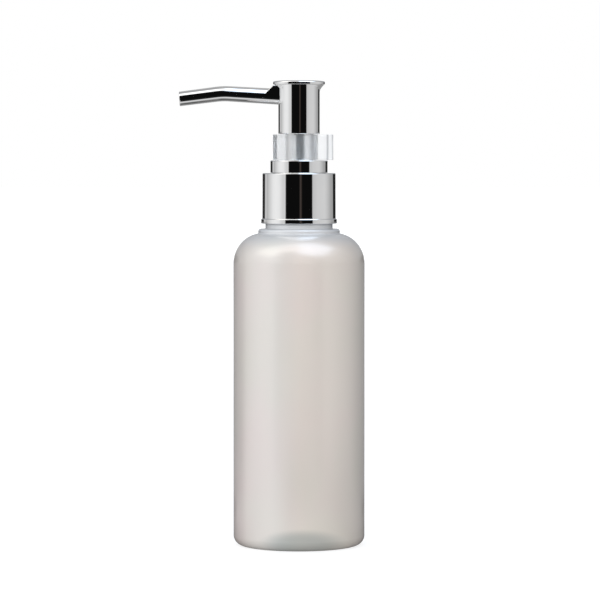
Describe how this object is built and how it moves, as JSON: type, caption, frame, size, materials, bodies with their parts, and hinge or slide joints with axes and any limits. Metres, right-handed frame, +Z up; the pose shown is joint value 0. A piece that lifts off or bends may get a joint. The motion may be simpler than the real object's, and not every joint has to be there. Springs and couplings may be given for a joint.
{
  "type": "pump bottle",
  "caption": "Round pearly bottle with a chromed stepped collar, a chromed lotion pump with a long drooping nozzle, and a clear clip that locks the head up.",
  "frame": {"origin": "centre of the bottle's base, on the surface that it stands on", "axes": "+Z up along the bottle's axis; the nozzle points along -X and the clip's plate along +X"},
  "size_m": [0.0706, 0.05, 0.1768],
  "materials": {
    "pearl_plastic": "glossy pearlescent blown plastic",
    "chrome_plate": "mirror chrome",
    "white_plastic": "satin white moulding",
    "natural_plastic": "milky unpigmented moulding",
    "clear_plastic": "clear, slightly milky moulding",
    "spring_steel": "bright drawn wire and polished balls",
    "grey_elastomer": "smooth soft gasket"
  },
  "bodies": {
    "bottle": {"bottle": "pearl_plastic"},
    "pump": {"neck_gasket": "grey_elastomer", "pump_housing": "natural_plastic", "chaplet": "white_plastic", "dip_tube": "natural_plastic", "return_spring": "spring_steel"},
    "collar": {"screw_collar": "white_plastic", "collar_shell": "chrome_plate", "step_ring": "chrome_plate"},
    "plunger": {"stem": "white_plastic", "piston": "natural_plastic", "piston_retainer": "white_plastic"},
    "head": {"stem_sleeve": "chrome_plate", "head_core": "white_plastic", "head_shell": "chrome_plate", "head_cap": "chrome_plate", "nozzle": "chrome_plate"},
    "clip": {"lock_clip": "clear_plastic"},
    "inlet_ball": {"inlet_ball": "spring_steel"},
    "outlet_ball": {"outlet_ball": "spring_steel"}
  },
  "joints": [
    {"name": "pump_lift", "type": "slide", "parent": "bottle", "child": "pump", "axis": [0, 0, 1], "range_m": [0, 0.00478]},
    {"name": "collar_turn", "type": "hinge", "parent": "pump", "child": "collar", "pos_m": [0, 0, 0.132], "axis": [0, 0, 1], "range_deg": [0, 540]},
    {"name": "head_press", "type": "slide", "parent": "pump", "child": "plunger", "axis": [0, 0, -1], "range_m": [0, 0.0091], "stiffness_N_per_m": 600, "springref_m": -0.01, "deforming": ["return_spring"]},
    {"name": "head_swivel", "type": "hinge", "parent": "plunger", "child": "head", "pos_m": [0, 0, 0.165], "axis": [0, 0, 1], "continuous": true},
    {"name": "clip_pull", "type": "slide", "parent": "pump", "child": "clip", "axis": [1, 0, 0], "range_m": [0, 0.0364], "deforming": ["lock_clip"]},
    {"name": "inlet_ball_lift", "type": "slide", "parent": "pump", "child": "inlet_ball", "axis": [0, 0, 1], "range_m": [0, 0.0015]},
    {"name": "outlet_ball_lift", "type": "slide", "parent": "plunger", "child": "outlet_ball", "axis": [0, 0, 1], "range_m": [0, 0.0012]}
  ],
  "couplings": [
    {"joint": "pump_lift", "follows": "collar_turn", "m_per_rad": 0.00050611},
    {"joint": "clip_pull", "follows": "head_press", "ratio": 4}
  ]
}
